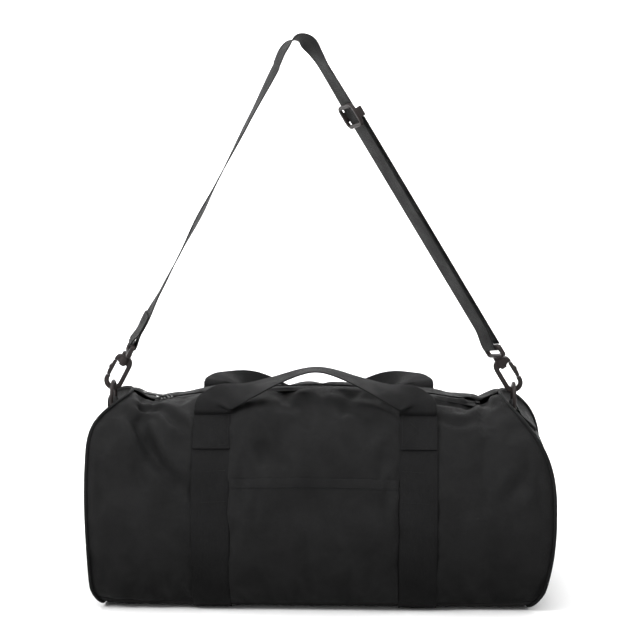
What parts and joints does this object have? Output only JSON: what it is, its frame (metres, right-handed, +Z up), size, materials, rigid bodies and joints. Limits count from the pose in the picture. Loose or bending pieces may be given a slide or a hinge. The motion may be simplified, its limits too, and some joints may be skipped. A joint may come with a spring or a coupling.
{
  "type": "duffel bag",
  "caption": "Barrel duffel bag with an arched top zip, a front pocket, carry handles on webbing bands and a clip-on shoulder strap.",
  "frame": {"origin": "on the floor, under the middle of the bag", "axes": "+X along the bag to its right end, -Y out of its front, +Z up"},
  "size_m": [0.63, 0.2888, 0.7469],
  "materials": {
    "cloth": "matte plain-weave polyester",
    "lining": "matte binding tape",
    "webbing": "ribbed polypropylene webbing",
    "plastic": "semi-gloss moulded acetal",
    "board": "smooth polyethylene sheet",
    "enamel": "black enamel on zinc",
    "metal": "spring steel strip"
  },
  "bodies": {
    "bag": {"front_panel": "cloth", "back_panel": "cloth", "base_panel": "cloth", "left_end_panel": "cloth", "right_end_panel": "cloth", "left_piping": "cloth", "right_piping": "cloth", "left_seam_binding": "lining", "right_seam_binding": "lining", "base_board": "board", "front_pocket_panel": "cloth", "front_pocket_hem": "cloth", "front_left_band": "webbing", "front_right_band": "webbing", "back_left_band": "webbing", "back_right_band": "webbing", "base_left_band": "webbing", "base_right_band": "webbing", "front_zip_tape": "webbing", "back_zip_tape": "webbing", "front_zip_coil": "plastic", "back_zip_coil": "plastic", "left_zip_end_tab": "webbing", "right_zip_end_tab": "webbing", "left_zip_gusset": "cloth", "right_zip_gusset": "cloth", "left_ring_tab": "webbing", "right_ring_tab": "webbing"},
    "zip_carriage": {"zip_slider": "enamel"},
    "pull": {"zip_pull": "enamel"},
    "front_grip": {"front_handle": "webbing"},
    "back_grip": {"back_handle": "webbing"},
    "left_ring_body": {"left_ring": "plastic"},
    "right_ring_body": {"right_ring": "plastic"},
    "strap": {"shoulder_strap": "webbing", "strap_sewn_end": "webbing", "strap_return": "webbing", "left_hook_eye": "plastic", "right_hook_eye": "plastic"},
    "left_clip": {"left_hook": "plastic", "left_gate_spring": "metal"},
    "right_clip": {"right_hook": "plastic", "right_gate_spring": "metal"},
    "left_gate_body": {"left_gate": "plastic"},
    "right_gate_body": {"right_gate": "plastic"},
    "adjuster": {"strap_adjuster": "plastic", "adjuster_loop": "webbing"}
  },
  "joints": [
    {"name": "zip_travel", "type": "hinge", "parent": "bag", "child": "zip_carriage", "pos_m": [0, 0, -0.845], "axis": [0, 1, 0], "range_deg": [0, 20.8]},
    {"name": "pull_flip", "type": "hinge", "parent": "zip_carriage", "child": "pull", "pos_m": [-0.2039, 0, 0.25882], "axis": [0, 1, 0], "range_deg": [0, 140]},
    {"name": "front_handle_swing", "type": "hinge", "parent": "bag", "child": "front_grip", "pos_m": [0, -0.07632, 0.25596], "axis": [1, 0, 0], "range_deg": [-8, 96]},
    {"name": "back_handle_swing", "type": "hinge", "parent": "bag", "child": "back_grip", "pos_m": [0, 0.07632, 0.25596], "axis": [1, 0, 0], "range_deg": [0, 100]},
    {"name": "strap_swing", "type": "hinge", "parent": "bag", "child": "strap", "pos_m": [0, 0, 0.257], "axis": [1, 0, 0], "range_deg": [-50, 50]},
    {"name": "left_ring_pivot", "type": "hinge", "parent": "bag", "child": "left_ring_body", "pos_m": [-0.276, 0, 0.25], "axis": [0, 1, 0], "range_deg": [-4, 4]},
    {"name": "right_ring_pivot", "type": "hinge", "parent": "bag", "child": "right_ring_body", "pos_m": [0.265, 0, 0.25], "axis": [0, 1, 0], "range_deg": [-4, 4]},
    {"name": "left_swivel", "type": "hinge", "parent": "strap", "child": "left_clip", "pos_m": [-0.27498, 0, 0.28095], "axis": [0.4639, 0, 0.8859], "range_deg": [-20, 20]},
    {"name": "right_swivel", "type": "hinge", "parent": "strap", "child": "right_clip", "pos_m": [0.26386, 0, 0.28088], "axis": [-0.5169, 0, 0.8561], "range_deg": [-20, 20]},
    {"name": "left_gate_open", "type": "hinge", "parent": "left_clip", "child": "left_gate_body", "pos_m": [-0.27243, 0, 0.30738], "axis": [0, -1, 0], "range_deg": [0, 22], "stiffness_Nm_per_rad": 0.02, "springref_deg": -17.19, "deforming": ["left_gate_spring"]},
    {"name": "right_gate_open", "type": "hinge", "parent": "right_clip", "child": "right_gate_body", "pos_m": [0.25971, 0, 0.30711], "axis": [0, 1, 0], "range_deg": [0, 22], "stiffness_Nm_per_rad": 0.02, "springref_deg": -17.19, "deforming": ["right_gate_spring"]},
    {"name": "strap_adjust", "type": "slide", "parent": "strap", "child": "adjuster", "axis": [-0.5169, 0, 0.8561], "range_m": [-0.24, 0.015], "deforming": ["strap_return"]}
  ]
}
